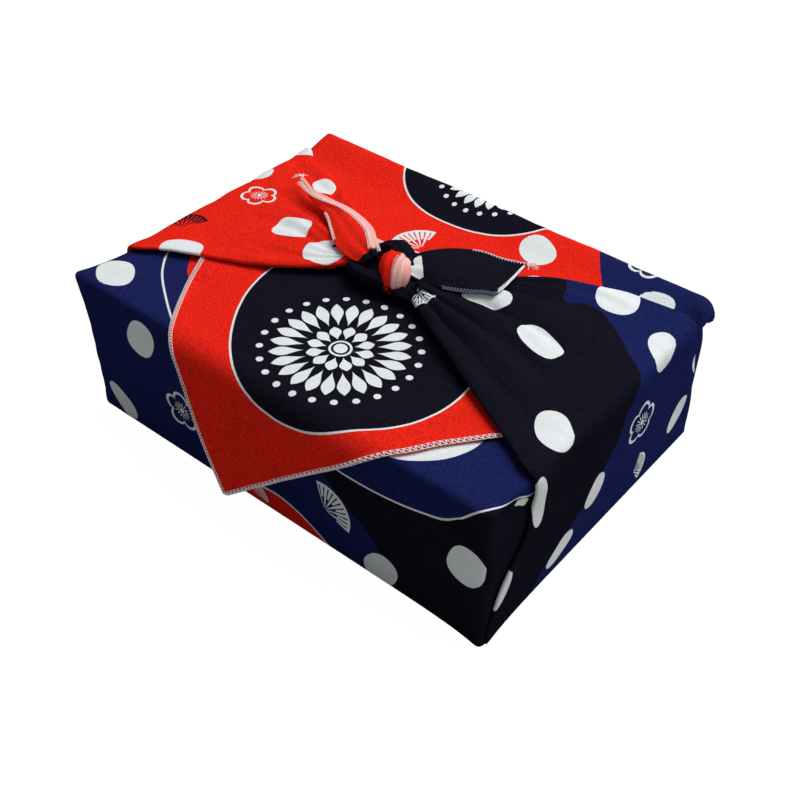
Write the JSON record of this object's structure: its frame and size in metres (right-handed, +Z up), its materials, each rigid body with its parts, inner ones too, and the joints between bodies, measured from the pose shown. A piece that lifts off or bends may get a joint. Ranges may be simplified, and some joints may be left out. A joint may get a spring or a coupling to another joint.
{
  "type": "furoshiki-wrapped gift box",
  "caption": "Square furoshiki cloth wrapped round a flat gift box: its back corner hangs down the front, its side corners meet in a square knot on top.",
  "frame": {"origin": "centre of the parcel's base, on the surface it rests on", "axes": "+X along the parcel's long side, +Z up, -Y out of the side on which the cloth's corner hangs"},
  "size_m": [0.274, 0.2142, 0.1093],
  "materials": {
    "cloth": "printed crepe: navy, red and near-black fields with white dots and motifs, white overlocked hem",
    "card": "plain matte card"
  },
  "bodies": {
    "root": {"furoshiki": "cloth", "gift_box": "card"}
  },
  "joints": []
}
